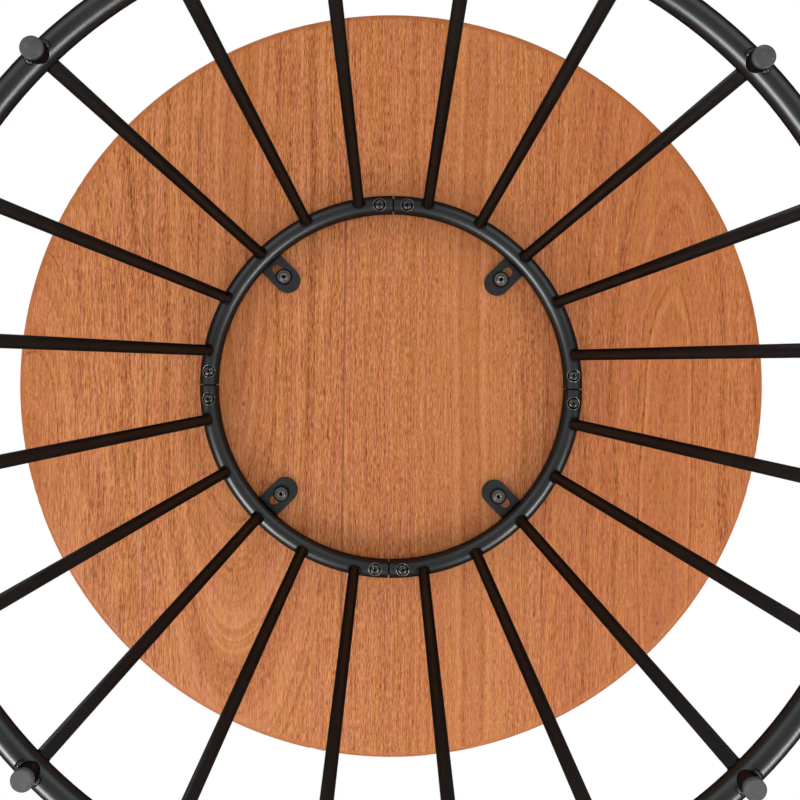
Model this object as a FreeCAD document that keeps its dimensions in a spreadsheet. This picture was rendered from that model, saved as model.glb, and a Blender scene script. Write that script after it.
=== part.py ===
import FreeCAD, Part
import os

import Sketcher
from FreeCAD import Placement, Rotation, Vector

# Driving sizes: name, millimetres, what it measures
SIZES = [
    ("table_height", 450, "floor to the upper face of the top"),
    ("top_diameter", 800, "round wooden top"),
    ("top_thickness", 22, "round wooden top"),
    ("under_edge_round", 8, "round-over of the top's lower edge"),
    ("upper_edge_round", 4, "round-over of the top's upper edge"),
    ("board_width", 214, "whole edge-glued board, between the two at the rim"),
    ("seam_offset", 50.5, "table axis to the middle glue line, towards -X"),
    ("tube_diameter", 20, "steel tube of both rings"),
    ("tube_wall", 3, "steel tube of both rings"),
    ("upper_ring_radius", 193, "centre line of the ring under the top"),
    ("lower_ring_radius", 353.5, "centre line of the ring near the floor"),
    ("ring_relief", 0.4, "air between the upper ring's crest and the wood"),
    ("seam_gap", 1.5, "air between two quarters of a ring"),
    ("rod_diameter", 11.5, "straight rods between the rings"),
    ("upper_rod_spacing", 21.6, "splice screw to the nearest rod on the upper ring"),
    ("lower_rod_spacing", 37, "splice screw to the nearest rod on the lower ring"),
    ("weld_gap", 0.1, "fit-up gap at a coped end"),
    ("splice_bar_margin", 15.4, "splice bar beyond each of its screws, along its centre line"),
    ("splice_bar_clearance", 0.2, "radial play of the bar in the tube"),
    ("splice_screw_offset", 14.6, "seam to each of its screws"),
    ("splice_screw_diameter", 5, "thread of a splice screw"),
    ("splice_screw_length", 12, "splice screw under its head"),
    ("splice_head_diameter", 9.5, "button head of a splice screw"),
    ("splice_head_height", 2.75, "button head of a splice screw"),
    ("splice_head_round", 1.9, "crown round of a splice screw"),
    ("splice_hex", 3, "hexagon socket of a splice screw, across flats"),
    ("splice_hex_depth", 1.6, "hexagon socket of a splice screw"),
    ("seat_floor", 0.8, "tube wall left under a splice screw's head"),
    ("seat_clearance", 1.75, "radial room round a splice screw's head"),
    ("screw_clearance", 0.2, "radial room round a screw in a plain hole"),
    ("thread_clearance", 0.1, "radial gap that stands for a thread's fit"),
    ("tab_thickness", 4, "slotted tab under the top"),
    ("tab_width", 27, "slotted tab under the top"),
    ("tab_length", 48, "upper ring's centre line to the tab's round end"),
    ("slot_width", 10, "slot in a tab"),
    ("slot_end_web", 9, "steel between the slot and the tab's round end"),
    ("slot_root_web", 7.5, "steel between the slot and the tab's welded end"),
    ("slot_screw_share", 0.3, "place of the screw along its slot, from the round end, as a share"),
    ("washer_diameter", 17.5, "washer under a tab screw"),
    ("washer_thickness", 1.5, "washer under a tab screw"),
    ("tab_screw_diameter", 6, "thread of a tab screw"),
    ("tab_screw_length", 16, "tab screw under its flange"),
    ("tab_flange_diameter", 13.6, "flange of a tab screw"),
    ("tab_flange_thickness", 1.1, "flange of a tab screw"),
    ("tab_head_diameter", 10.5, "button head of a tab screw"),
    ("tab_head_height", 3.3, "flange and button head of a tab screw"),
    ("tab_head_round", 1.8, "crown round of a tab screw"),
    ("tab_hex", 4, "hexagon socket of a tab screw, across flats"),
    ("tab_hex_depth", 2, "hexagon socket of a tab screw"),
    ("insert_diameter", 10, "threaded insert in the top"),
    ("insert_length", 13, "threaded insert in the top"),
    ("insert_tip_gap", 1, "room above the insert or the screw in its hole"),
    ("foot_height", 14, "floor to the underside of the lower ring"),
    ("foot_diameter", 16, "round foot"),
    ("glide_thickness", 4, "plastic glide on the end of a foot"),
    ("glide_chamfer", 0.8, "lower edge of a glide"),
    ("peg_diameter", 6, "peg of a glide"),
    ("peg_clearance", 0.1, "radial play of the peg in the foot"),
    ("peg_tip_gap", 0.5, "room above the peg in its hole"),
    ("peg_floor", 2.5, "steel between the peg's hole and the tube"),
]

# Counts of the top's boards, and of the pattern of the base
BOARDS = 4
QUARTERS = 4
RODS_PER_QUARTER = 5

# Derived sizes, as expressions of the sheet
QUARTER_ANGLE = f"(360 deg / {QUARTERS})"
TUBE_RADIUS = "(Sizes.tube_diameter / 2)"
BORE_RADIUS = f"({TUBE_RADIUS} - Sizes.tube_wall)"
COPE_RADIUS = f"({TUBE_RADIUS} + Sizes.weld_gap)"
UPPER_RING = "Sizes.upper_ring_radius"
LOWER_RING = "Sizes.lower_ring_radius"
UNDERSIDE = "(Sizes.table_height - Sizes.top_thickness)"
RING_DROP = f"(Sizes.ring_relief + {TUBE_RADIUS})"
UPPER_LEVEL = f"({UNDERSIDE} - {RING_DROP})"
LOWER_LEVEL = f"(Sizes.foot_height + {TUBE_RADIUS})"
SEAT_DROP = f"({BORE_RADIUS} + Sizes.seat_floor)"
TAB_END = "(Sizes.upper_ring_radius - Sizes.tab_length)"
TAB_ROOT = (
    f"(Sizes.upper_ring_radius"
    f" - sqrt({TUBE_RADIUS} ^ 2 - ({RING_DROP} - Sizes.tab_thickness / 2) ^ 2))"
)
SLOT_RADIUS = "(Sizes.slot_width / 2)"
SLOT_START = f"({TAB_END} + Sizes.slot_end_web + {SLOT_RADIUS})"
SLOT_STOP = f"({TAB_ROOT} - Sizes.slot_root_web - {SLOT_RADIUS})"
TAB_SCREW_RADIUS = f"({SLOT_START} + Sizes.slot_screw_share * ({SLOT_STOP} - {SLOT_START}))"
TAB_STACK = "(Sizes.tab_thickness + Sizes.washer_thickness)"
INSERT_HOLE_DEPTH = (
    f"(max(Sizes.insert_length; Sizes.tab_screw_length - {TAB_STACK}) + Sizes.insert_tip_gap)"
)
FOOT_STUB_HEIGHT = "(Sizes.foot_height - Sizes.glide_thickness)"
PEG_HOLE_DEPTH = f"({FOOT_STUB_HEIGHT} - Sizes.peg_floor)"
PEG_RADIUS = "(Sizes.peg_diameter / 2)"

# Sketch numbers of the points of an edge, of the two axes, which count below zero, and of the origin
POINTS = ("edge", "start", "end", "centre")
AXES = ("sketch", "horizontal", "vertical")
START, END, CENTRE = (POINTS.index(name) for name in ("start", "end", "centre"))
HORIZONTAL_AXIS, VERTICAL_AXIS = (-AXES.index(name) for name in ("horizontal", "vertical"))
ORIGIN = (HORIZONTAL_AXIS, START)

UP = Vector(0, 0, 1)

doc = FreeCAD.newDocument("round_table")
sheet = doc.addObject("Spreadsheet::Sheet", "Sizes")
for row, (name, number, meaning) in enumerate(SIZES, start=1):
    sheet.set(f"A{row}", meaning)
    sheet.set(f"B{row}", str(number))
    sheet.setAlias(f"B{row}", name)
doc.recompute()

nodes = []


def value(expression):
    """Return the number that an expression of the sheet gives."""
    result = sheet.evalExpression(expression)
    return float(getattr(result, "Value", result))


def about_axis(azimuth, level="0", radius="0"):
    """Return the place at an azimuth, a height and a distance from the table's axis."""
    turn = Rotation(UP, azimuth)
    return Placement(turn.multVec(Vector(value(radius), 0, 0)) + UP * value(level), turn)


def quarter_azimuths():
    """Return the azimuth of the middle of each quarter of the base."""
    step = value(QUARTER_ANGLE)
    return [step * (quarter + 0.5) for quarter in range(QUARTERS)]


def seam_azimuths():
    """Return the azimuth of each seam between two quarters."""
    step = value(QUARTER_ANGLE)
    return [step * quarter for quarter in range(QUARTERS)]


def keep(node, label):
    """Name an object as one node of the part."""
    node.Label = label
    nodes.append(node)
    return node


# Sketches and features inside a body


def new_sketch(body, name, role, level=None):
    """Attach a sketch to one of the body's own planes, raised to a level if given."""
    plane = next(item for item in body.Origin.OriginFeatures if item.Role == role)
    sketch = body.newObject("Sketcher::SketchObject", name)
    sketch.AttachmentSupport = [(plane, "")]
    sketch.MapMode = "FlatFace"
    if level:
        sketch.setExpression("AttachmentOffset.Base.z", level)
    return sketch


def bind(sketch, constraint, expression):
    """Add a constraint whose number follows the sheet."""
    index = sketch.addConstraint(constraint)
    sketch.setExpression(f"Constraints[{index}]", expression)


def place_point(sketch, edge, point, across, along):
    """Tie one point of an edge to its two coordinates in the sketch."""
    for kind, axis, expression in (
        ("DistanceX", VERTICAL_AXIS, across),
        ("DistanceY", HORIZONTAL_AXIS, along),
    ):
        number = value(expression)
        if expression == "0":
            sketch.addConstraint(Sketcher.Constraint("PointOnObject", edge, point, axis))
        elif number > 0:
            bind(sketch, Sketcher.Constraint(kind, *ORIGIN, edge, point, number), expression)
        else:
            bind(sketch, Sketcher.Constraint(kind, edge, point, *ORIGIN, -number), f"-{expression}")


def add_circle(sketch, radius, across="0", along="0"):
    """Draw a circle of a bound radius round a bound centre."""
    centre = Vector(value(across), value(along), 0)
    circle = sketch.addGeometry(Part.Circle(centre, UP, value(radius)), False)
    bind(sketch, Sketcher.Constraint("Radius", circle, value(radius)), radius)
    place_point(sketch, circle, CENTRE, across, along)


def add_polygon(sketch, corners):
    """Draw a closed outline of straight lines through bound corners."""
    points = [Vector(value(across), value(along), 0) for across, along in corners]
    lines = []
    for start, stop in zip(points, points[1:] + points[:1]):
        lines.append(sketch.addGeometry(Part.LineSegment(start, stop), False))
    for line, following in zip(lines, lines[1:] + lines[:1]):
        sketch.addConstraint(Sketcher.Constraint("Coincident", line, END, following, START))
    for line, (across, along) in zip(lines, corners):
        place_point(sketch, line, START, across, along)


def half_turn(sketch, centre, radius, facing):
    """Draw a half circle round a point of the horizontal axis, open to one side."""
    quarter_turn = value("pi / 2")
    circle = Part.Circle(Vector(value(centre), 0, 0), UP, value(radius))
    first = facing * quarter_turn
    arc = sketch.addGeometry(Part.ArcOfCircle(circle, first, first + 2 * quarter_turn), False)
    place_point(sketch, arc, CENTRE, centre, "0")
    return arc


def side_lines(sketch, start, stop, radius):
    """Draw the two lines along a tab or slot, the lower one outwards and the upper one back."""
    near = value(start)
    far = value(stop)
    half = value(radius)
    lower = sketch.addGeometry(Part.LineSegment(Vector(near, -half, 0), Vector(far, -half, 0)), False)
    upper = sketch.addGeometry(Part.LineSegment(Vector(far, half, 0), Vector(near, half, 0)), False)
    return lower, upper


def add_slot(sketch, start, stop, radius):
    """Draw a slot with round ends whose centres are start and stop."""
    near = half_turn(sketch, start, radius, 1)
    lower, upper = side_lines(sketch, start, stop, radius)
    far = half_turn(sketch, stop, radius, -1)
    for first, second in ((near, lower), (lower, far), (far, upper), (upper, near)):
        sketch.addConstraint(Sketcher.Constraint("Tangent", first, END, second, START))
    sketch.addConstraint(Sketcher.Constraint("Equal", near, far))
    bind(sketch, Sketcher.Constraint("Radius", near, value(radius)), radius)


def add_tab_outline(sketch, start, stop, radius):
    """Draw a tab with one round end, centred on start, and one square end at stop."""
    near = half_turn(sketch, start, radius, 1)
    lower, upper = side_lines(sketch, start, stop, radius)
    far = value(stop)
    half = value(radius)
    root = sketch.addGeometry(Part.LineSegment(Vector(far, -half, 0), Vector(far, half, 0)), False)
    sketch.addConstraint(Sketcher.Constraint("Tangent", near, END, lower, START))
    sketch.addConstraint(Sketcher.Constraint("Coincident", lower, END, root, START))
    sketch.addConstraint(Sketcher.Constraint("Coincident", root, END, upper, START))
    sketch.addConstraint(Sketcher.Constraint("Tangent", upper, END, near, START))
    sketch.addConstraint(Sketcher.Constraint("Horizontal", lower))
    sketch.addConstraint(Sketcher.Constraint("Horizontal", upper))
    sketch.addConstraint(Sketcher.Constraint("Vertical", root))
    bind(sketch, Sketcher.Constraint("Radius", near, value(radius)), radius)
    bind(sketch, Sketcher.Constraint("DistanceX", *ORIGIN, root, START, far), stop)


def pad(body, sketch, length, upward=True):
    """Raise a sketch into a solid, up or down from its plane."""
    feature = body.newObject("PartDesign::Pad", sketch.Name + "_pad")
    feature.Profile = sketch
    feature.Reversed = not upward
    feature.setExpression("Length", length)
    doc.recompute()
    return feature


def revolve(body, sketch, angle):
    """Turn a sketch about the vertical axis, to both sides of its plane."""
    feature = body.newObject("PartDesign::Revolution", sketch.Name + "_turn")
    feature.Profile = sketch
    feature.ReferenceAxis = (sketch, ["V_Axis"])
    feature.Midplane = True
    feature.setExpression("Angle", angle)
    doc.recompute()
    return feature


def removed(body, feature, before):
    """Stop if a cut took nothing away from its body."""
    doc.recompute()
    if not feature.Shape.Volume < before:
        raise RuntimeError(f"{feature.Label} cuts nothing from {body.Label}")
    return feature


def pocket(body, sketch, length, upward):
    """Cut a sketch into the body, up or down from its plane."""
    before = body.Shape.Volume
    feature = body.newObject("PartDesign::Pocket", sketch.Name + "_pocket")
    feature.Profile = sketch
    feature.Reversed = upward
    feature.setExpression("Length", length)
    return removed(body, feature, before)


def cope(body, ring_radius, level):
    """Cut the outside of a ring's tube, with the weld gap, out of a piece that is welded to it."""
    before = body.Shape.Volume
    section = new_sketch(body, body.Name + "_cope", "XZ_Plane")
    add_circle(section, COPE_RADIUS, ring_radius, level)
    feature = body.newObject("PartDesign::Groove", section.Name + "_groove")
    feature.Profile = section
    feature.ReferenceAxis = (section, ["V_Axis"])
    feature.Angle = 360
    return removed(body, feature, before)


def round_edge(body, feature, level, radius, round_radius):
    """Round the circular edge of a given level and radius."""
    for index, edge in enumerate(feature.Shape.Edges, start=1):
        centre = getattr(edge.Curve, "Center", None)
        if centre is None:
            continue
        if abs(centre.z - value(level)) < 1e-6 and abs(edge.Curve.Radius - value(radius)) < 1e-6:
            break
    else:
        raise RuntimeError(f"{body.Label} has no edge to round at {level}")
    fillet = body.newObject("PartDesign::Fillet", f"{feature.Name}_round")
    fillet.Base = (feature, [f"Edge{index}"])
    fillet.setExpression("Radius", round_radius)
    doc.recompute()
    return fillet


def new_body(name):
    """Start an empty body."""
    return doc.addObject("PartDesign::Body", name)


# Round top of edge-glued boards


def make_top_disc():
    """Make the whole round top, from which the boards are cut."""
    body = new_body("top_disc")
    outline = new_sketch(body, "top_outline", "XY_Plane")
    radius = "(Sizes.top_diameter / 2)"
    add_circle(outline, radius)
    feature = pad(body, outline, "Sizes.top_thickness")
    feature = round_edge(body, feature, "0", radius, "Sizes.under_edge_round")
    round_edge(body, feature, "Sizes.top_thickness", radius, "Sizes.upper_edge_round")
    holes = new_sketch(body, "insert_holes", "XY_Plane")
    for azimuth in quarter_azimuths():
        across = f"{TAB_SCREW_RADIUS} * cos({azimuth} deg)"
        along = f"{TAB_SCREW_RADIUS} * sin({azimuth} deg)"
        hole_radius = "(Sizes.insert_diameter / 2 + Sizes.thread_clearance)"
        add_circle(holes, hole_radius, f"({across})", f"({along})")
    pocket(body, holes, INSERT_HOLE_DEPTH, upward=True)
    body.Placement = about_axis(0, UNDERSIDE)
    return body


def board_edges():
    """Return the left and right side of each board, from rim to rim."""
    rim = value("Sizes.top_diameter / 2")
    width = value("Sizes.board_width")
    middle_seam = -value("Sizes.seam_offset")
    seams = [middle_seam + width * (number - BOARDS // 2) for number in range(1, BOARDS)]
    return list(zip([-rim] + seams, seams + [rim]))


def make_boards():
    """Cut the round top along its glue lines."""
    disc = make_top_disc()
    for number, (left, right) in enumerate(board_edges(), start=1):
        slab = doc.addObject("Part::Box", f"board_slab_{number}")
        slab.Length = right - left
        slab.setExpression("Width", "Sizes.top_diameter")
        slab.setExpression("Height", "Sizes.top_thickness")
        slab.Placement.Base = Vector(left, -value("Sizes.top_diameter") / 2, value(UNDERSIDE))
        board = doc.addObject("Part::Common", f"board_{number}")
        board.Base = disc
        board.Tool = slab
        keep(board, f"top_board_{number}")


# Rings in quarters, with a splice at each seam


def screw_spots(ring_radius, quarter):
    """Return the two splice screw places of a quarter, or of a seam, as sketch coordinates."""
    swing = f"asin(Sizes.splice_screw_offset / {ring_radius})"
    angle = f"({QUARTER_ANGLE} / 2 - {swing})" if quarter else swing
    across = f"({ring_radius} * cos({angle}))"
    along = f"({ring_radius} * sin({angle}))"
    return [(across, along), (across, f"(-{along})")]


def make_ring_quarter(label, ring_radius, level, azimuth):
    """Bend a quarter ring of tube and cut the seats and holes of its splice screws."""
    body = keep(new_body(label), label)
    section = new_sketch(body, label + "_section", "XZ_Plane")
    add_circle(section, TUBE_RADIUS, ring_radius)
    add_circle(section, BORE_RADIUS, ring_radius)
    revolve(body, section, f"{QUARTER_ANGLE} - 2 * asin(Sizes.seam_gap / (2 * {ring_radius}))")
    seats = new_sketch(body, label + "_seats", "XY_Plane", f"-{SEAT_DROP}")
    holes = new_sketch(body, label + "_holes", "XY_Plane")
    for across, along in screw_spots(ring_radius, quarter=True):
        add_circle(seats, "(Sizes.splice_head_diameter / 2 + Sizes.seat_clearance)", across, along)
        add_circle(holes, "(Sizes.splice_screw_diameter / 2 + Sizes.screw_clearance)", across, along)
    pocket(body, seats, TUBE_RADIUS, upward=False)
    pocket(body, holes, "Sizes.tube_diameter", upward=False)
    body.Placement = about_axis(azimuth, level)


def make_splice_bar(label, ring_radius, level, azimuth):
    """Bend the bar that joins two quarters inside the tube, with its two tapped holes."""
    body = keep(new_body(label), label)
    section = new_sketch(body, label + "_section", "XZ_Plane")
    add_circle(section, f"({BORE_RADIUS} - Sizes.splice_bar_clearance)", ring_radius)
    swing = f"asin(Sizes.splice_screw_offset / {ring_radius})"
    revolve(body, section, f"2 * ({swing} + Sizes.splice_bar_margin / {ring_radius} * 1 rad)")
    holes = new_sketch(body, label + "_holes", "XY_Plane", f"-{TUBE_RADIUS}")
    for across, along in screw_spots(ring_radius, quarter=False):
        add_circle(holes, "(Sizes.splice_screw_diameter / 2 + Sizes.thread_clearance)", across, along)
    pocket(body, holes, "Sizes.tube_diameter", upward=True)
    body.Placement = about_axis(azimuth, level)


def make_rings():
    """Make both rings, quarter by quarter and seam by seam."""
    for name, ring_radius, level in (
        ("upper", UPPER_RING, UPPER_LEVEL),
        ("lower", LOWER_RING, LOWER_LEVEL),
    ):
        for number, azimuth in enumerate(quarter_azimuths(), start=1):
            make_ring_quarter(f"{name}_ring_quarter_{number}", ring_radius, level, azimuth)
        for number, azimuth in enumerate(seam_azimuths(), start=1):
            make_splice_bar(f"{name}_splice_bar_{number}", ring_radius, level, azimuth)


# Straight rods, coped to both rings


def rod_ends(ring_radius, level, end_spacing):
    """Return the point of a ring's centre line where each rod ends, evenly spaced within each quarter."""
    end_angle = value(f"asin((Sizes.splice_screw_offset + {end_spacing}) / {ring_radius})")
    step = (value(QUARTER_ANGLE) - 2 * end_angle) / (RODS_PER_QUARTER - 1)
    ends = []
    for seam in seam_azimuths():
        for rod in range(RODS_PER_QUARTER):
            ends.append(about_axis(seam + end_angle + rod * step, level, ring_radius).Base)
    return ends


def make_rods():
    """Run the rods from ring to ring, wider apart below, and cope their ends to the tubes."""
    envelopes = []
    for name, ring_radius, level in (
        ("upper", UPPER_RING, UPPER_LEVEL),
        ("lower", LOWER_RING, LOWER_LEVEL),
    ):
        envelope = doc.addObject("Part::Torus", f"{name}_ring_envelope")
        envelope.setExpression("Radius1", ring_radius)
        envelope.setExpression("Radius2", COPE_RADIUS)
        envelope.Placement = about_axis(0, level)
        envelopes.append(envelope)
    rings = doc.addObject("Part::Compound", "ring_envelopes")
    rings.Links = envelopes
    upper_ends = rod_ends(UPPER_RING, UPPER_LEVEL, "Sizes.upper_rod_spacing")
    lower_ends = rod_ends(LOWER_RING, LOWER_LEVEL, "Sizes.lower_rod_spacing")
    for number, (upper, lower) in enumerate(zip(upper_ends, lower_ends), start=1):
        bar = doc.addObject("Part::Cylinder", f"rod_bar_{number:02d}")
        bar.setExpression("Radius", "Sizes.rod_diameter / 2")
        bar.Height = (upper - lower).Length
        bar.Placement = Placement(lower, Rotation(UP, upper - lower))
        rod = doc.addObject("Part::Cut", f"coped_rod_{number:02d}")
        rod.Base = bar
        rod.Tool = rings
        keep(rod, f"rod_{number:02d}")


# Slotted tabs that hold the top, and what fastens them


def make_tabs():
    """Make the slotted tabs, coped to the inside of the upper ring."""
    half_tab = "(Sizes.tab_width / 2)"
    for number, azimuth in enumerate(quarter_azimuths(), start=1):
        label = f"mounting_tab_{number}"
        body = keep(new_body(label), label)
        outline = new_sketch(body, label + "_outline", "XY_Plane")
        add_tab_outline(outline, f"({TAB_END} + {half_tab})", TAB_ROOT, half_tab)
        add_slot(outline, SLOT_START, SLOT_STOP, SLOT_RADIUS)
        pad(body, outline, "Sizes.tab_thickness", upward=False)
        cope(body, UPPER_RING, f"(-{RING_DROP})")
        body.Placement = about_axis(azimuth, UNDERSIDE)


def make_ring_shape(name, outer, inner, length):
    """Make a plain ring, as a washer or an insert, that stands on its own plane."""
    body = new_body(name)
    section = new_sketch(body, name + "_section", "XY_Plane")
    add_circle(section, outer)
    add_circle(section, inner)
    pad(body, section, length)
    return body


def make_screw(name, diameter, length, head, crown_round, hexagon, depth, flange=None):
    """Make a button-head socket screw that hangs head down from its bearing plane."""
    body = new_body(name)
    head_diameter, head_height = head
    crown = new_sketch(body, name + "_head", "XY_Plane")
    add_circle(crown, f"({head_diameter} / 2)")
    feature = pad(body, crown, head_height, upward=False)
    round_edge(body, feature, f"-{head_height}", f"{head_diameter} / 2", crown_round)
    if flange:
        rim = new_sketch(body, name + "_flange", "XY_Plane")
        add_circle(rim, f"({flange[0]} / 2)")
        pad(body, rim, flange[1], upward=False)
    shank = new_sketch(body, name + "_shank", "XY_Plane")
    add_circle(shank, f"({diameter} / 2)")
    pad(body, shank, length)
    before = body.Shape.Volume
    socket = body.newObject("PartDesign::SubtractivePrism", name + "_socket")
    socket.AttachmentSupport = shank.AttachmentSupport
    socket.MapMode = "FlatFace"
    socket.setExpression("AttachmentOffset.Base.z", f"-{head_height}")
    socket.Polygon = 6
    socket.setExpression("Circumradius", f"{hexagon} / 2 / cos(30 deg)")
    socket.setExpression("Height", depth)
    removed(body, socket, before)
    return body


def keep_group(label, pattern, places):
    """Repeat one fastener at several places, as separate solids of one node."""
    copies = []
    for place in places:
        copy = pattern.Shape.copy()
        copy.Placement = place
        copies.append(copy)
    group = doc.addObject("Part::Feature", label)
    group.Shape = Part.makeCompound(copies)
    keep(group, label)


def make_tab_fasteners():
    """Make the screws, washers and inserts that hold the top on the tabs."""
    screw = make_screw(
        "tab_screw",
        "Sizes.tab_screw_diameter",
        "Sizes.tab_screw_length",
        ("Sizes.tab_head_diameter", "Sizes.tab_head_height"),
        "Sizes.tab_head_round",
        "Sizes.tab_hex",
        "Sizes.tab_hex_depth",
        ("Sizes.tab_flange_diameter", "Sizes.tab_flange_thickness"),
    )
    washer = make_ring_shape(
        "tab_washer",
        "(Sizes.washer_diameter / 2)",
        "(Sizes.tab_screw_diameter / 2 + Sizes.screw_clearance)",
        "Sizes.washer_thickness",
    )
    insert = make_ring_shape(
        "insert",
        "(Sizes.insert_diameter / 2)",
        "(Sizes.tab_screw_diameter / 2 + Sizes.thread_clearance)",
        "Sizes.insert_length",
    )
    bearing = f"({UNDERSIDE} - {TAB_STACK})"
    azimuths = quarter_azimuths()
    for label, pattern, level in (
        ("tab_screws", screw, bearing),
        ("tab_washers", washer, bearing),
        ("threaded_inserts", insert, UNDERSIDE),
    ):
        places = [about_axis(azimuth, level, TAB_SCREW_RADIUS) for azimuth in azimuths]
        keep_group(label, pattern, places)


def make_splice_screws():
    """Make the screws of every seam in both rings."""
    screw = make_screw(
        "splice_screw",
        "Sizes.splice_screw_diameter",
        "Sizes.splice_screw_length",
        ("Sizes.splice_head_diameter", "Sizes.splice_head_height"),
        "Sizes.splice_head_round",
        "Sizes.splice_hex",
        "Sizes.splice_hex_depth",
    )
    places = []
    for ring_radius, level in ((UPPER_RING, UPPER_LEVEL), (LOWER_RING, LOWER_LEVEL)):
        swing = value(f"asin(Sizes.splice_screw_offset / {ring_radius})")
        for seam in seam_azimuths():
            for azimuth in (seam - swing, seam + swing):
                places.append(about_axis(azimuth, f"({level} - {SEAT_DROP})", ring_radius))
    keep_group("splice_screws", screw, places)


# Feet under the lower ring


def make_feet():
    """Make the welded stubs and the plastic glides that are pegged into them."""
    for number, azimuth in enumerate(quarter_azimuths(), start=1):
        label = f"foot_stub_{number}"
        stub = keep(new_body(label), label)
        drop = f"({TUBE_RADIUS} + {FOOT_STUB_HEIGHT})"
        outline = new_sketch(stub, label + "_outline", "XY_Plane")
        add_circle(outline, "(Sizes.foot_diameter / 2)", LOWER_RING)
        pad(stub, outline, drop, upward=False)
        cope(stub, LOWER_RING, "0")
        hole = new_sketch(stub, label + "_hole", "XY_Plane", f"-{drop}")
        add_circle(hole, f"({PEG_RADIUS} + Sizes.peg_clearance)", LOWER_RING)
        pocket(stub, hole, PEG_HOLE_DEPTH, upward=True)
        stub.Placement = about_axis(azimuth, LOWER_LEVEL)

        label = f"foot_glide_{number}"
        glide = keep(new_body(label), label)
        profile = new_sketch(glide, label + "_profile", "XZ_Plane")
        peg_top = f"(Sizes.glide_thickness + {PEG_HOLE_DEPTH} - Sizes.peg_tip_gap)"
        corners = [
            ("0", "0"),
            ("(Sizes.foot_diameter / 2 - Sizes.glide_chamfer)", "0"),
            ("(Sizes.foot_diameter / 2)", "Sizes.glide_chamfer"),
            ("(Sizes.foot_diameter / 2)", "Sizes.glide_thickness"),
            (PEG_RADIUS, "Sizes.glide_thickness"),
            (PEG_RADIUS, peg_top),
            ("0", peg_top),
        ]
        add_polygon(profile, corners)
        revolve(glide, profile, "360 deg")
        glide.Placement = about_axis(azimuth, "0", LOWER_RING)


make_boards()
make_rings()
make_rods()
make_tabs()
make_tab_fasteners()
make_splice_screws()
make_feet()
doc.recompute()

for item in doc.Objects:
    if "Invalid" in item.State or "Error" in item.State:
        raise RuntimeError(f"{item.Label} failed: {item.State}")
for node in nodes:
    if node.Shape.isNull() or not node.Shape.isValid():
        raise RuntimeError(f"{node.Label} has no valid shape")

os.makedirs("parts", exist_ok=True)
for node in nodes:
    node.Shape.exportStep(f"parts/{node.Label}.step")
print(f"{len(nodes)} nodes written")
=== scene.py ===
import math

import bpy
import numpy as np
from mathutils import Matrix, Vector


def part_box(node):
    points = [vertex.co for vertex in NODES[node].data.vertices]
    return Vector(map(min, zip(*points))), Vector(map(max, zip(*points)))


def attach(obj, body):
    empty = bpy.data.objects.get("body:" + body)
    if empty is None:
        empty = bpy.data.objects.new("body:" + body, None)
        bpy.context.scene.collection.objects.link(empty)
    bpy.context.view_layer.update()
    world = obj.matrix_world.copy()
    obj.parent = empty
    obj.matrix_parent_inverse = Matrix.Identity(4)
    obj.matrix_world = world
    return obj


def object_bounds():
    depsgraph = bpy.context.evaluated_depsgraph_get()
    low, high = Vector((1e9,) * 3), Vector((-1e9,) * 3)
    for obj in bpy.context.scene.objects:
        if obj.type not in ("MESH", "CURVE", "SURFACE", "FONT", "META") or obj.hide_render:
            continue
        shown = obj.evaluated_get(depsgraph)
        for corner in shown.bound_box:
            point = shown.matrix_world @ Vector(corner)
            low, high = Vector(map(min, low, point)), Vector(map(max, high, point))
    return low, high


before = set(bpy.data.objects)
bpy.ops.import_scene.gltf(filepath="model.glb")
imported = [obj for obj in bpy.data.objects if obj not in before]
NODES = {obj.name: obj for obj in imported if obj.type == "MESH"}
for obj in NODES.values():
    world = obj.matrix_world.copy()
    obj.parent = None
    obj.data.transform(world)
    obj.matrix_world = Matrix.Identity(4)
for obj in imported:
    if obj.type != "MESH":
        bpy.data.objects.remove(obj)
CAD_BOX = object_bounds()
MM = 0.001


# Shader helpers

def srgb(red, green, blue):
    """Linear colour, with alpha, of a screen colour in levels from 0 to 255."""
    shares = [level / 255 for level in (red, green, blue)]
    linear = [s / 12.92 if s <= 0.04045 else ((s + 0.055) / 1.055) ** 2.4 for s in shares]
    return (*linear, 1.0)


def node(tree, kind, inputs=None, **settings):
    """Adds a shader node, sets its properties, and fills its inputs with values or links."""
    made = tree.nodes.new("ShaderNode" + kind)
    for name, value in settings.items():
        setattr(made, name, value)
    for key, value in (inputs or {}).items():
        if isinstance(value, bpy.types.NodeSocket):
            tree.links.new(value, made.inputs[key])
        else:
            made.inputs[key].default_value = value
    return made


def calc(tree, operation, first, second=0.0, clamp=False):
    """One step of arithmetic."""
    return node(tree, "Math", {0: first, 1: second}, operation=operation, use_clamp=clamp).outputs[0]


def flat_length(tree, across, along):
    """Length of the hypotenuse over two sides."""
    flat = node(tree, "CombineXYZ", {"X": across, "Y": along})
    return node(tree, "VectorMath", {0: flat.outputs[0]}, operation="LENGTH").outputs["Value"]


def weighted_sum(tree, start, parts):
    """start plus weight x (value - 0.5) for each (value, weight)."""
    total = start
    for value, weight in parts:
        total = calc(tree, "ADD", total, calc(tree, "MULTIPLY", calc(tree, "SUBTRACT", value, 0.5), weight))
    return total


def stretch(tree, value, low, high):
    """0 at low, 1 at high, with soft ends."""
    inputs = {"Value": value, "From Min": low, "From Max": high}
    return node(tree, "MapRange", inputs, interpolation_type="SMOOTHSTEP").outputs["Result"]


def between(tree, value, low, high):
    """A value of 0 to 1 spread from low to high."""
    return node(tree, "MapRange", {"Value": value, "To Min": low, "To Max": high}).outputs["Result"]


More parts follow.
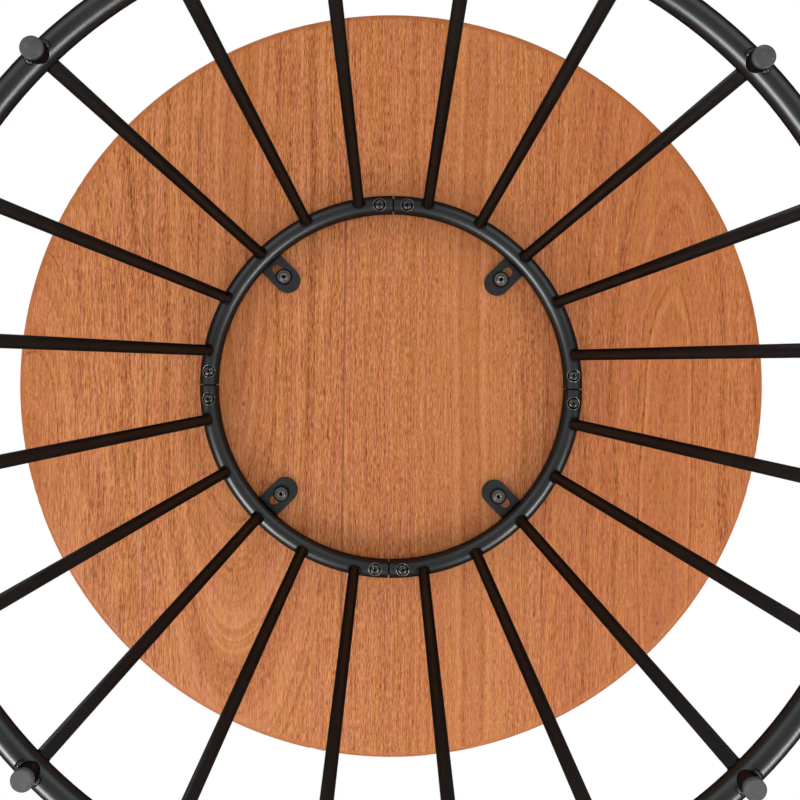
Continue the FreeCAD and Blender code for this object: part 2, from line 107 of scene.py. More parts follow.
def grain(tree, place, per_metre, shift=0.0, detail=2.0, roughness=0.5):
    """Noise with its own number of cells per metre along each axis."""
    moved = node(tree, "Mapping", {"Vector": place, "Scale": per_metre, "Location": (shift, shift, shift)})
    inputs = {"Vector": moved.outputs[0], "Scale": 1.0, "Detail": detail, "Roughness": roughness}
    return node(tree, "TexNoise", inputs).outputs["Fac"]


def even_grain(tree, place, per_metre, shift=0.0, detail=2.0, roughness=0.5):
    """Noise with the same number of cells per metre along every axis."""
    return grain(tree, place, (per_metre,) * 3, shift, detail, roughness)


def ramp(tree, factor, stops):
    """Colour of factor along (position, colour) stops."""
    made = node(tree, "ValToRGB", {"Fac": factor})
    elements = made.color_ramp.elements
    while len(elements) < len(stops):
        elements.new(1.0)
    for element, (position, colour) in zip(elements, stops):
        element.position = position
        element.color = colour
    return made.outputs["Color"]


def mix(tree, factor, first, second, blend="MIX"):
    """Colour between two, or blended with the second."""
    inputs = {"Factor": factor, "A": first, "B": second}
    made = tree.nodes.new("ShaderNodeMix")
    made.data_type = "RGBA"
    made.blend_type = blend
    for socket in made.inputs:
        if socket.enabled and socket.name in inputs:
            value = inputs[socket.name]
            if isinstance(value, bpy.types.NodeSocket):
                tree.links.new(value, socket)
            else:
                socket.default_value = value
    return next(socket for socket in made.outputs if socket.enabled)


def bump(tree, height, distance, strength):
    """Normal of a fine relief of that height in metres."""
    inputs = {"Height": height, "Distance": distance, "Strength": strength}
    return node(tree, "Bump", inputs).outputs["Normal"]


def new_material(name):
    """A material with its node tree, its shader and the place of each point in the part's frame."""
    material = bpy.data.materials.new(name)
    material.use_nodes = True
    tree = material.node_tree
    shader = tree.nodes["Principled BSDF"]
    place = node(tree, "TexCoord").outputs["Object"]
    return material, tree, shader, place


def finish_shader(tree, shader, values):
    """Sets or links the shader's inputs."""
    for key, value in values.items():
        if isinstance(value, bpy.types.NodeSocket):
            tree.links.new(value, shader.inputs[key])
        else:
            shader.inputs[key].default_value = value


def dress(prefix, material):
    """Gives a finish to every piece of the frame whose name starts with prefix."""
    for name, piece in NODES.items():
        if name.startswith(prefix):
            for slot in piece.material_slots:
                slot.material = material


# Wood: edge-glued boards with the grain along Y

WOOD_STOPS = [
    (0.14, srgb(120, 54, 10)),
    (0.29, srgb(160, 83, 28)),
    (0.43, srgb(187, 107, 53)),
    (0.52, srgb(197, 117, 62)),
    (0.62, srgb(206, 127, 72)),
    (0.82, srgb(226, 150, 98)),
]
PINK_TINT = (1.0, 0.93, 1.10, 1)
ORANGE_TINT = (1.0, 1.03, 0.82, 1)
TINT_STOPS = [(0.3, PINK_TINT), (0.7, ORANGE_TINT)]
RED_TINT = (1.0, 0.80, 0.76, 1)
GLUE_COLOUR = srgb(112, 60, 30)
# rounded edge, then end grain: axis of the face's normal, its range, share and colour
EDGE_SHADES = [
    ("Z", (0.9995, 0.985), 0.5, srgb(189, 104, 36)),
    ("Y", (0.25, 0.95), 0.4, srgb(168, 88, 34)),
]
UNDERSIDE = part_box("top_board_1")[0].z
# tone, contrast and redness
BOARD_TONES = {
    "top_board_1": (0.575, 1.00, 0.00),
    "top_board_2": (0.585, 1.00, 0.00),
    "top_board_3": (0.585, 1.00, 0.04),
    "top_board_4": (0.548, 0.72, 0.25),
}
# the pith's place across the top, its depth, its sinking toward -Y, or +Y if negative, and where that starts
BOARD_FIGURES = {
    "top_board_1": (-0.385, 0.060, 0.16, 0.02),
    "top_board_2": (-0.163, 0.055, -0.16, 0.07),
    "top_board_3": (0.085, 0.085, 0.00, 0.00),
    "top_board_4": (0.299, 0.061, 0.11, -0.06),
}
BOARD_SHIFT = 7.3
SINKING_BEND = 0.05
# half width and strength of the dark glue line on the right of each board
GLUE_LINES = {
    "top_board_1": (0.8 * MM, 0.45),
    "top_board_2": (1.8 * MM, 0.55),
    "top_board_3": (0.8 * MM, 0.35),
}
# cells of noise per metre across, along and through the top, and how far they move the rings, in metres
RING_SWAYS = [((9, 2.2, 9), 0.04), ((110, 16, 110), 0.005)]
RING_WIDTH = 3.4 * MM
RING_ROUGHNESS = 0.6
YEAR_CELLS = 90
YEAR_UNEVENNESS = 4.0
YEAR_RARITY = 3.0
YEAR_LINE_WIDTH = 1.5 * MM
# cells of noise per metre across, along and through the top, detail, and a shift of its own
WOOD_GRAINS = {
    "patches": ((26, 5, 26), 2, 2.0),
    "tone": ((45, 2.0, 45), 2, 0.0),
    "fibres": ((1250, 24, 1250), 1, 0.0),
    "dashes": ((1400, 135, 1400), 1, 0.0),
    "specks": ((1300, 500, 1300), 1, 0.0),
    "pores": ((1350, 125, 1350), 1, 3.1),
    "long_hue": ((150, 4, 150), 2, 7.0),
    "short_hue": ((700, 60, 700), 2, 9.0),
}
# cells of noise per metre away from the pith, detail, and a shift of its own
RING_GRAINS = {
    "bands": (110, 2, 0.0),
    "lines": (650, 2, 0.0),
    "ring_hue": (75, 3, 5.0),
}
FIELD_WEIGHTS = {"bands": 0.36, "tone": 0.25, "lines": 0.42, "specks": 0.38}
LONG_GRAIN_WEIGHTS = {"fibres": 0.85, "dashes": 1.25}
HUE_WEIGHTS = {"ring_hue": 0.6, "long_hue": 1.0, "short_hue": 1.3}
RELIEF_WEIGHTS = {"fibres": 0.4, "dashes": 0.4}
PORE_CROWDING = {"bands": -0.20}
PORES_AT_YEARS = 0.20
PORE_LIMITS = (0.61, 0.72)
PORE_WEIGHT = 0.36
PORE_DEPTH = 0.5
PATCH_LIMITS = (0.38, 0.62)
PATCH_SHARES = (0.35, 1.0)
# steepness at which the grain counts as flat and as straight, and what it changes from flat to straight
STRAIGHT_LIMITS = (0.2, 0.8)
LONG_GRAIN_SHARES = (0.55, 1.0)
YEAR_WEIGHTS = (0.32, 0.16)
WOOD_ROUGHNESS = (0.62, 0.46)
WOOD_SPECULAR = 0.26
WOOD_RELIEF = 0.10 * MM
WOOD_RELIEF_STRENGTH = 0.4


def growth_rings(tree, place, figure, shift):
    """Distance from a pith that sinks along part of the board, and how steeply it changes along the face."""
    pith_across, pith_depth, sinking, start = figure
    axes = node(tree, "SeparateXYZ", {"Vector": place}).outputs
    sways = [(grain(tree, place, cells, shift, detail=2), reach) for cells, reach in RING_SWAYS]
    across = weighted_sum(tree, calc(tree, "SUBTRACT", axes["X"], pith_across), sways)
    along = calc(tree, "MULTIPLY", calc(tree, "SUBTRACT", axes["Y"], start), math.copysign(1.0, sinking))
    reach = flat_length(tree, along, SINKING_BEND)
    sunk = calc(tree, "MULTIPLY", calc(tree, "SUBTRACT", reach, along), abs(sinking) / 2)
    depth = calc(tree, "ADD", calc(tree, "SUBTRACT", axes["Z"], UNDERSIDE - pith_depth), sunk)
    distance = flat_length(tree, across, depth)
    falling = calc(tree, "SUBTRACT", calc(tree, "DIVIDE", along, reach), 1.0)
    falling = calc(tree, "MULTIPLY", falling, sinking / 2)
    rise = flat_length(tree, across, calc(tree, "MULTIPLY", depth, falling))
    return distance, calc(tree, "DIVIDE", rise, distance)


def ring_noise(tree, distance, per_metre, shift, detail):
    """Noise that follows the rings."""
    inputs = {
        "W": calc(tree, "ADD", distance, shift),
        "Scale": per_metre,
        "Detail": detail,
        "Roughness": RING_ROUGHNESS,
    }
    return node(tree, "TexNoise", inputs, noise_dimensions="1D").outputs["Fac"]


def year_lines(tree, distance, steepness, shift):
    """Thin dark lines that end each year, of uneven strength."""
    years = calc(tree, "DIVIDE", distance, RING_WIDTH)
    uneven = ring_noise(tree, distance, YEAR_CELLS, shift, 2)
    years = weighted_sum(tree, years, [(uneven, YEAR_UNEVENNESS)])
    left = calc(tree, "SUBTRACT", 1.0, calc(tree, "FRACT", years))
    left = calc(tree, "DIVIDE", calc(tree, "MULTIPLY", left, RING_WIDTH), steepness)
    year = node(tree, "TexWhiteNoise", {"W": calc(tree, "FLOOR", years)}, noise_dimensions="1D")
    strength = calc(tree, "POWER", year.outputs["Value"], YEAR_RARITY)
    return calc(tree, "MULTIPLY", stretch(tree, left, YEAR_LINE_WIDTH, 0.2 * YEAR_LINE_WIDTH), strength)


def glue_line(tree, place, seam, half_width):
    """1 in the middle of a dark glue line at this place across the top, 0 beside it."""
    across = node(tree, "SeparateXYZ", {"Vector": place}).outputs["X"]
    apart = calc(tree, "ABSOLUTE", calc(tree, "SUBTRACT", across, seam))
    return stretch(tree, apart, half_width, 0.3 * half_width)


def wood_layers(tree, place, distance, shift):
    """The noises of the wood, by name."""
    layers = {}
    for kind, (cells, detail, own_shift) in WOOD_GRAINS.items():
        layers[kind] = grain(tree, place, cells, shift + own_shift, detail)
    for kind, (cells, detail, own_shift) in RING_GRAINS.items():
        layers[kind] = ring_noise(tree, distance, cells, shift + own_shift, detail)
    return layers


def layer_sum(tree, start, layers, weights):
    """Weighted sum of the named layers."""
    return weighted_sum(tree, start, [(layers[kind], weight) for kind, weight in weights.items()])


def wood_pores(tree, layers, years):
    """1 in the pores, which crowd along the year lines and thin out in patches, 0 beside them."""
    crowd = layer_sum(tree, layers["pores"], layers, PORE_CROWDING)
    crowd = calc(tree, "ADD", crowd, calc(tree, "MULTIPLY", years, PORES_AT_YEARS))
    patches = stretch(tree, layers["patches"], *PATCH_LIMITS)
    return calc(tree, "MULTIPLY", stretch(tree, crowd, *PORE_LIMITS), between(tree, patches, *PATCH_SHARES))


def wood_field(tree, layers, steepness, years, pores, tones):
    """Lightness of the wood, with weaker long grain and stronger year lines where the rings lie flat."""
    level, contrast, _ = tones
    straight = stretch(tree, steepness, *STRAIGHT_LIMITS)
    long_grain = layer_sum(tree, 0.0, layers, LONG_GRAIN_WEIGHTS)
    long_grain = calc(tree, "MULTIPLY", long_grain, between(tree, straight, *LONG_GRAIN_SHARES))
    field = calc(tree, "ADD", layer_sum(tree, 0.0, layers, FIELD_WEIGHTS), long_grain)
    field = calc(tree, "ADD", calc(tree, "MULTIPLY", field, contrast), level)
    for value, weight in ((years, between(tree, straight, *YEAR_WEIGHTS)), (pores, PORE_WEIGHT)):
        field = calc(tree, "SUBTRACT", field, calc(tree, "MULTIPLY", value, weight))
    return field


def wood_colour(tree, layers, field, redness):
    """Colour of the wood, which wanders between pink and orange and changes on the edge and end grain."""
    tint = ramp(tree, layer_sum(tree, 0.5, layers, HUE_WEIGHTS), TINT_STOPS)
    tint = mix(tree, redness, tint, RED_TINT, "MULTIPLY")
    colour = mix(tree, 1.0, ramp(tree, field, WOOD_STOPS), tint, "MULTIPLY")
    facing = node(tree, "SeparateXYZ", {"Vector": node(tree, "NewGeometry").outputs["Normal"]}).outputs
    for axis, limits, share, edge_colour in EDGE_SHADES:
        tilted = stretch(tree, calc(tree, "ABSOLUTE", facing[axis]), *limits)
        colour = mix(tree, calc(tree, "MULTIPLY", tilted, share), colour, edge_colour)
    return colour


def wood(name, glue_lines):
    """Oiled, open-pored brown wood of one board, with the glue lines on its sides."""
    material, tree, shader, place = new_material("wood_" + name)
    shift = BOARD_SHIFT * int(name[-1])
    tones = BOARD_TONES[name]
    distance, steepness = growth_rings(tree, place, BOARD_FIGURES[name], shift)
    years = year_lines(tree, distance, steepness, shift)
    layers = wood_layers(tree, place, distance, shift)
    pores = wood_pores(tree, layers, years)
    field = wood_field(tree, layers, steepness, years, pores, tones)
    colour = wood_colour(tree, layers, field, tones[2])
    for seam, half_width, strength in glue_lines:
        share = calc(tree, "MULTIPLY", glue_line(tree, place, seam, half_width), strength)
        colour = mix(tree, share, colour, GLUE_COLOUR)
    relief = layer_sum(tree, 0.5, layers, RELIEF_WEIGHTS)
    relief = calc(tree, "SUBTRACT", relief, calc(tree, "MULTIPLY", pores, PORE_DEPTH))
    finish_shader(tree, shader, {
        "Base Color": colour,
        "Roughness": between(tree, field, *WOOD_ROUGHNESS),
        "Specular IOR Level": WOOD_SPECULAR,
        "Normal": bump(tree, relief, WOOD_RELIEF, WOOD_RELIEF_STRENGTH),
    })
    return material


def dress_top():
    """Each board has its own figure, and half of the glue line on each of its sides."""
    lines = [(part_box(name)[1].x, *line) for name, line in GLUE_LINES.items()]
    for name in BOARD_FIGURES:
        low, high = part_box(name)
        own_lines = [line for line in lines if low.x - MM < line[0] < high.x + MM]
        dress(name, wood(name, own_lines))


# Steel, plated fasteners and plastic

# near black: painted shade in the seat round each splice screw and inside each screw's socket
PAINTED_SHADE_COLOUR = (0.006, 0.006, 0.006, 1)
COAT_LEVELS = (0.051, 0.069)
# a darker coat for the rod and tab welds: painted shade for the hollows beside them
WELD_SHADE_LEVELS = (0.012, 0.022)
COAT_SHINE = (0.30, 0.30, 0.30, 1)
COAT_ROUGHNESS = 0.37
COAT_RELIEF = 0.02 * MM
COAT_RELIEF_STRENGTH = 0.1
# cells of noise per metre
PEEL_CELLS = 500
PIGMENT_CELLS = 4200
HAZE_CELLS = 22
RUB_CELLS = (90, 90, 30)
TURNING_CELLS = 3200
STAIN_CELLS = 260
SPECK_CELLS = 2600
MOULD_CELLS = 1500
CLOUD_CELLS = 120
SCUFF_CELLS = (240, 900, 400)
# colour, worn colour and roughness
METALS = {
    "grey_screw_steel": ((0.14, 0.13, 0.125, 1), (0.25, 0.235, 0.225, 1), 0.36),
    "black_screw_steel": ((0.05, 0.05, 0.051, 1), (0.12, 0.12, 0.122, 1), 0.26),
    "black_washer": ((0.008, 0.008, 0.009, 1), (0.03, 0.03, 0.032, 1), 0.42),
    "plain_steel": ((0.30, 0.30, 0.31, 1), (0.50, 0.50, 0.51, 1), 0.4),
    # near black, which keeps what shows through the seam gaps dark
    "near_black_bar_steel": ((0.004, 0.004, 0.004, 1), (0.012, 0.012, 0.013, 1), 0.5),
    "rubbed_grey_edge": ((0.30, 0.30, 0.30, 1), (0.55, 0.55, 0.55, 1), 0.25),
    "rubbed_black_edge": ((0.07, 0.07, 0.07, 1), (0.22, 0.22, 0.22, 1), 0.22),
    # edge of the coat round each seat: worn, and paler than wear alone as a painted highlight
    "worn_and_highlighted_coat_edge": ((0.18, 0.18, 0.18, 1), (0.40, 0.40, 0.40, 1), 0.3),
}
METAL_RELIEF = 0.02 * MM
METAL_RELIEF_STRENGTH = 0.4
PLASTIC_STOPS = [(0.2, srgb(58, 59, 61)), (0.5, srgb(72, 73, 75)), (0.9, srgb(102, 102, 102))]
PLASTIC_ROUGHNESS = 0.55
PLASTIC_SPECULAR = 0.4
PLASTIC_RELIEF = 0.04 * MM
PLASTIC_RELIEF_STRENGTH = 0.5
SCUFF_HEIGHT = 1.2 * MM
SEAT_RADIUS = 6.5 * MM
# reach and heights of the painted shade in seat and socket
SEAT_SHADE_RADIUS = 0.97 * SEAT_RADIUS
SEAT_SHADE_START = -2 * MM
SOCKET_SHADE_START = 0.05 * MM
SHADE_BLEND = 0.4 * MM
SHADE_FADE = (8 * MM, 6 * MM)
SHADE_EDGE = 1.06
TAB_SOCKET_RADIUS = 2.31 * MM
SPLICE_SOCKET_RADIUS = 1.73 * MM
# radius, half width and colour of a pale ring painted on the head of a splice screw: a painted highlight of
# its rounded crown
SPLICE_HIGHLIGHT_RING = (4.3 * MM, 0.4 * MM, (0.50, 0.49, 0.47, 1))


def axis_distance(tree, axes, spots):
    """Distance from the nearest of the screws' axes, whose pattern is alike on the eight sides of X and Y."""
    beside = calc(tree, "ABSOLUTE", axes["X"])
    along = calc(tree, "ABSOLUTE", axes["Y"])
    near = calc(tree, "MINIMUM", beside, along)
    far = calc(tree, "MAXIMUM", beside, along)
    radius = 1.0
    for spot in spots:
        near_spot, far_spot = sorted(spot[:2])
        near_apart = calc(tree, "SUBTRACT", near, near_spot)
        far_apart = calc(tree, "SUBTRACT", far, far_spot)
        radius = calc(tree, "MINIMUM", radius, flat_length(tree, near_apart, far_apart))
    return radius


def screw_shade_mask(tree, axes, radius, spots, reach, start):
    """1 within reach of the screws' axes, from a start above each screw's lowest face, otherwise 0: the mask
    of painted shade.
    """
    inside = 0.0
    for spot in spots:
        risen = calc(tree, "SUBTRACT", axes["Z"], spot[2])
        above = stretch(tree, risen, start, start + SHADE_BLEND)
        below = stretch(tree, risen, *SHADE_FADE)
        inside = calc(tree, "ADD", inside, calc(tree, "MULTIPLY", above, below), clamp=True)
    return calc(tree, "MULTIPLY", inside, stretch(tree, radius, SHADE_EDGE * reach, reach))


def powder_coat(name, splice_spots, levels):
    """Satin black powder coat, which shines weakly at every angle, with painted shade in the seat round each
    splice screw.
    """
    material, tree, shader, place = new_material(name)
    axes = node(tree, "SeparateXYZ", {"Vector": place}).outputs
    radius = axis_distance(tree, axes, splice_spots)
    # painted shade: the seat round each splice screw darkened to near black
    seat_shade = screw_shade_mask(tree, axes, radius, splice_spots, SEAT_SHADE_RADIUS, SEAT_SHADE_START)
    peel = even_grain(tree, place, PEEL_CELLS, detail=2)
    pigment = even_grain(tree, place, PIGMENT_CELLS, detail=1)
    haze = even_grain(tree, place, HAZE_CELLS, detail=3)
    rubs = stretch(tree, grain(tree, place, RUB_CELLS, 5.0, detail=4, roughness=0.7), 0.60, 0.78)
    tone = weighted_sum(tree, 0.5, [(pigment, 0.7), (haze, 0.6)])
    tone = calc(tree, "ADD", tone, calc(tree, "MULTIPLY", rubs, 0.25))
    dark, pale = ((0.98 * level, level, level, 1) for level in levels)
    coat = ramp(tree, tone, [(0.2, dark), (0.9, pale)])
    roughness = weighted_sum(tree, COAT_ROUGHNESS, [(haze, 0.10), (pigment, 0.04)])
    finish_shader(tree, shader, {
        "Base Color": mix(tree, seat_shade, coat, PAINTED_SHADE_COLOUR),
        "Metallic": 1.0,
        "Specular Tint": COAT_SHINE,
        "Roughness": calc(tree, "ADD", roughness, calc(tree, "MULTIPLY", rubs, 0.06)),
        "Normal": bump(tree, peel, COAT_RELIEF, COAT_RELIEF_STRENGTH),
    })
    return material


def turned_metal(name, spots, socket_radius=0.0, rim=None):
    """Turned, plated metal with fine rings about each of the screws' axes, painted shade in the sockets and a
    painted highlight ring.
    """
    material, tree, shader, place = new_material(name)
    colour, worn_colour, roughness = METALS[name]
    axes = node(tree, "SeparateXYZ", {"Vector": place}).outputs
    radius = axis_distance(tree, axes, spots)
    inputs = {"W": calc(tree, "MULTIPLY", radius, TURNING_CELLS), "Scale": 1.0, "Detail": 2.0}
    turning = node(tree, "TexNoise", inputs, noise_dimensions="1D").outputs["Fac"]
    stain = even_grain(tree, place, STAIN_CELLS, detail=3)
    speck = even_grain(tree, place, SPECK_CELLS, detail=1)
    tone = weighted_sum(tree, 0.5, [(turning, 0.2), (stain, 0.9), (speck, 0.4)])
    shown = ramp(tree, tone, [(0.25, colour), (0.80, worn_colour)])
    # painted highlight: a pale ring on the head where its rounded crown would shine
    if rim:
        highlight_radius, half_width, highlight_colour = rim
        apart = calc(tree, "ABSOLUTE", calc(tree, "SUBTRACT", radius, highlight_radius))
        shown = mix(tree, stretch(tree, apart, half_width, 0.4 * half_width), shown, highlight_colour)
    if socket_radius:
        # painted shade: the inside of each socket darkened to near black
        inside = screw_shade_mask(tree, axes, radius, spots, socket_radius, SOCKET_SHADE_START)
        shown = mix(tree, inside, shown, PAINTED_SHADE_COLOUR)
    relief = weighted_sum(tree, 0.5, [(turning, 0.4), (speck, 0.3)])
    finish_shader(tree, shader, {
        "Base Color": shown,
        "Metallic": 1.0,
        "Roughness": weighted_sum(tree, roughness, [(stain, 0.25), (turning, 0.08)]),
        "Normal": bump(tree, relief, METAL_RELIEF, METAL_RELIEF_STRENGTH),
    })
    return material


def glide_plastic():
    """Moulded charcoal plastic, scuffed pale where it stands on the floor."""
    material, tree, shader, place = new_material("glide_plastic")
    mould = even_grain(tree, place, MOULD_CELLS, detail=2)
    cloud = even_grain(tree, place, CLOUD_CELLS, detail=3)
    scuff = stretch(tree, grain(tree, place, SCUFF_CELLS, 2.0, detail=4, roughness=0.65), 0.52, 0.72)
    height = node(tree, "SeparateXYZ", {"Vector": place}).outputs["Z"]
    low = stretch(tree, height, SCUFF_HEIGHT, 0.0)
    tone = weighted_sum(tree, 0.45, [(mould, 0.5), (cloud, 0.8)])
    tone = calc(tree, "ADD", tone, calc(tree, "MULTIPLY", calc(tree, "MULTIPLY", scuff, low), 0.35))
    relief = weighted_sum(tree, 0.5, [(mould, 0.6), (scuff, 0.2)])
    finish_shader(tree, shader, {
        "Base Color": ramp(tree, tone, PLASTIC_STOPS),
        "Roughness": weighted_sum(tree, PLASTIC_ROUGHNESS, [(cloud, 0.2), (mould, 0.15)]),
        "Specular IOR Level": PLASTIC_SPECULAR,
        "Normal": bump(tree, relief, PLASTIC_RELIEF, PLASTIC_RELIEF_STRENGTH),
    })
    return material


# Weld beads and seat lips: tacks on both sides of each rod end and foot, a run along each tab's root,
# and the raised edge of the coat round each splice screw's seat

BEAD_SIDES = 12
BEAD_STEPS = 22
BEAD_END_SHARE = 0.3
BEAD_PITCH = 1.7 * MM
BEAD_RIPPLE = 0.06
ROD_TACK = (1.9 * MM, math.radians(55))
FOOT_TACK = (2.4 * MM, math.radians(24))
ROD_END_HEIGHT = 12 * MM
TAB_BEAD_RADIUS = 1.4 * MM
TAB_BEAD_MARGIN = 2.5 * MM
LIP_RADIUS = 0.35 * MM
SOCKET_RIM_RADIUS = 0.3 * MM
LIP_SIDES = 8
LIP_STEPS = 48
# how far the middle of a bead or rim stands off the surface, as a share of its radius
TACK_RISE = 0.25
TAB_BEAD_RISE = 0.5
SOCKET_RIM_RISE = 0.6
# how much a tab's bead faces down, for each part that it faces inward
TAB_BEAD_DIP = 0.5


def corners(piece):
    """The piece's points, as an array."""
    return np.array([vertex.co for vertex in piece.data.vertices])


def ring_sizes(prefix):
    """Ring radius, tube radius and level of a tube ring made of quarters."""
    boxes = [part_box(name) for name in NODES if name.startswith(prefix)]
    low = np.min([box[0] for box in boxes], axis=0)
    high = np.max([box[1] for box in boxes], axis=0)
    tube = (high[2] - low[2]) / 2
    return (high[0] - low[0]) / 2 - tube, tube, (high[2] + low[2]) / 2


def round_about(azimuth):
    """Outward and tangential directions at that azimuth."""
    outward = np.array([math.cos(azimuth), math.sin(azimuth), 0.0])
    return outward, np.array([-outward[1], outward[0], 0.0])


def unit(vectors):
    """The vectors at length one."""
    return vectors / np.linalg.norm(vectors, axis=-1, keepdims=True)


def bead(path, outward, radius):
    """Points and faces of one bead along a path: a rippled tube that tapers to both ends."""
    steps = len(path)
    share = np.linspace(-1, 1, steps)
    length = np.linalg.norm(np.diff(path, axis=0), axis=1).sum()
    ripple = 1 + BEAD_RIPPLE * np.cos(np.pi * share * length / BEAD_PITCH)
    taper = BEAD_END_SHARE + (1 - BEAD_END_SHARE) * np.sqrt(1 - share ** 4)
    size = (radius * ripple * taper)[:, None, None]
    tangent = unit(np.gradient(path, axis=0))
    side = unit(np.cross(tangent, outward))
    angles = np.linspace(0, 2 * math.pi, BEAD_SIDES, endpoint=False)[None, :, None]
    round_section = np.cos(angles) * outward[:, None] + np.sin(angles) * side[:, None]
    points = (path[:, None] + size * round_section).reshape(-1, 3)
    faces = []
    for step in range(steps - 1):
        for turn in range(BEAD_SIDES):
            here = step * BEAD_SIDES
            beside = (turn + 1) % BEAD_SIDES
            faces.append((here + turn, here + beside, here + beside + BEAD_SIDES, here + turn + BEAD_SIDES))
    last = (steps - 1) * BEAD_SIDES
    faces.append(tuple(range(BEAD_SIDES))[::-1])
    faces.append(tuple(last + turn for turn in range(BEAD_SIDES)))
    return points, faces


def tack(centre, direction, tangent, rod_radius, tube_radius, side, size):
    """A bead round one side of a rod that ends on a tube, along the line where their surfaces meet."""
    radius, half_angle = size
    normal = np.cross(direction, tangent)
    angle = np.linspace(-half_angle, half_angle, BEAD_STEPS)[:, None]
    rod_normal = side * np.cos(angle) * tangent + np.sin(angle) * normal
    lift = np.sqrt(tube_radius ** 2 - (rod_radius * np.sin(angle)) ** 2)
    tube_normal = (rod_radius * np.sin(angle) * normal + lift * direction) / tube_radius
    outward = unit(rod_normal + tube_normal)
    path = centre + rod_radius * rod_normal + lift * direction + TACK_RISE * radius * outward
    return bead(path, outward, radius)


def weld_piece(name, beads, finish):
    """One mesh of all beads of a kind."""
    points, faces, count = [], [], 0
    for bead_points, bead_faces in beads:
        points.extend(bead_points.tolist())
        faces.extend(tuple(count + corner for corner in face) for face in bead_faces)
        count += len(bead_points)
    mesh = bpy.data.meshes.new(name)
    mesh.from_pydata(points, [], faces)
    mesh.shade_smooth()
    mesh.materials.append(finish)
    piece = bpy.data.objects.new(name, mesh)
    bpy.context.scene.collection.objects.link(piece)
    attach(piece, "root")


def end_azimuth(points, level):
    """Azimuth of the end of a rod that lies at a level."""
    end = points[np.abs(points[:, 2] - level) < ROD_END_HEIGHT]
    across, along, _ = (end.min(axis=0) + end.max(axis=0)) / 2
    return math.atan2(along, across)


def weld_rods(finish):
    """Tacks on both sides of both ends of every rod."""
    upper_radius, upper_tube, upper_level = ring_sizes("upper_ring_quarter")
    lower_radius, lower_tube, lower_level = ring_sizes("lower_ring_quarter")
    upper_beads, lower_beads = [], []
    for name in sorted(name for name in NODES if name.startswith("rod_")):
        points = corners(NODES[name])
        upper_out, upper_tangent = round_about(end_azimuth(points, points[:, 2].max()))
        lower_out, lower_tangent = round_about(end_azimuth(points, points[:, 2].min()))
        upper_end = upper_out * upper_radius + np.array([0, 0, upper_level])
        lower_end = lower_out * lower_radius + np.array([0, 0, lower_level])
        down = unit(lower_end - upper_end)
        beside = (points - upper_end) - np.outer((points - upper_end) @ down, down)
        rod_radius = np.linalg.norm(beside, axis=1).mean()
        for side in (-1, 1):
            upper_side = unit(upper_tangent - down * (upper_tangent @ down))
            lower_side = unit(lower_tangent - down * (lower_tangent @ down))
            upper_beads.append(tack(upper_end, down, upper_side, rod_radius, upper_tube, side, ROD_TACK))
            lower_beads.append(tack(lower_end, -down, lower_side, rod_radius, lower_tube, side, ROD_TACK))
    weld_piece("rod_welds_upper", upper_beads, finish)
    weld_piece("rod_welds_lower", lower_beads, finish)


def weld_feet(finish):
    """Tacks on both sides of every foot stub, under the lower ring."""
    ring_radius, tube, level = ring_sizes("lower_ring_quarter")
    beads = []
    for name in sorted(name for name in NODES if name.startswith("foot_stub")):
        low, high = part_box(name)
        middle = (low + high) / 2
        outward, tangent = round_about(math.atan2(middle.y, middle.x))
        centre = outward * ring_radius + np.array([0, 0, level])
        for side in (-1, 1):
            foot_radius = (high.x - low.x) / 2
            beads.append(tack(centre, np.array([0, 0, -1.0]), tangent, foot_radius, tube, side, FOOT_TACK))
    weld_piece("foot_welds", beads, finish)


def weld_tabs(finish):
    """A run along the root of every tab, in the corner between its underside and the upper ring."""
    ring_radius, tube, level = ring_sizes("upper_ring_quarter")
    beads = []
    for name in sorted(name for name in NODES if name.startswith("mounting_tab")):
        points = corners(NODES[name])
        middle = points.mean(axis=0)
        outward, tangent = round_about(math.atan2(middle[1], middle[0]))
        half_width = np.abs(points @ tangent).max() - TAB_BEAD_MARGIN
        drop = points[:, 2].min() - level
        root_radius = ring_radius - math.sqrt(tube ** 2 - drop ** 2)
        turn = np.linspace(-1, 1, BEAD_STEPS)[:, None] * half_width / root_radius
        inward = -(np.cos(turn) * outward + np.sin(turn) * tangent)
        down = np.array([[0, 0, -1.0]])
        open_way = unit(inward + down * TAB_BEAD_DIP)
        root = -inward * root_radius + np.array([0, 0, level + drop])
        path = root + TAB_BEAD_RISE * TAB_BEAD_RADIUS * open_way
        beads.append(bead(path, open_way, TAB_BEAD_RADIUS))
    weld_piece("tab_welds", beads, finish)


def turn_about_z(points, angle):
    """The points turned about the table's axis."""
    cosine, sine = math.cos(angle), math.sin(angle)
    return points @ np.array([[cosine, sine, 0], [-sine, cosine, 0], [0, 0, 1]])


def lip(path, radius):
    """Points and faces of a thin closed loop along a path."""
    ahead = unit(np.roll(path, -1, axis=0) - np.roll(path, 1, axis=0))
    outward = unit(path - path.mean(axis=0))
    side = unit(np.cross(ahead, outward))
    angles = np.linspace(0, 2 * math.pi, LIP_SIDES, endpoint=False)[None, :, None]
    round_section = np.cos(angles) * outward[:, None] + np.sin(angles) * side[:, None]
    points = (path[:, None] + radius * round_section).reshape(-1, 3)
    faces = []
    for step in range(LIP_STEPS):
        here = step * LIP_SIDES
        there = (step + 1) % LIP_STEPS * LIP_SIDES
        for turn in range(LIP_SIDES):
            beside = (turn + 1) % LIP_SIDES
            faces.append((here + turn, here + beside, there + beside, there + turn))
    return points, faces


def circle(across, along, radius):
    """Points of a level circle, as places across and along."""
    turn = np.linspace(0, 2 * math.pi, LIP_STEPS, endpoint=False)
    return np.column_stack([across + radius * np.cos(turn), along + radius * np.sin(turn)])


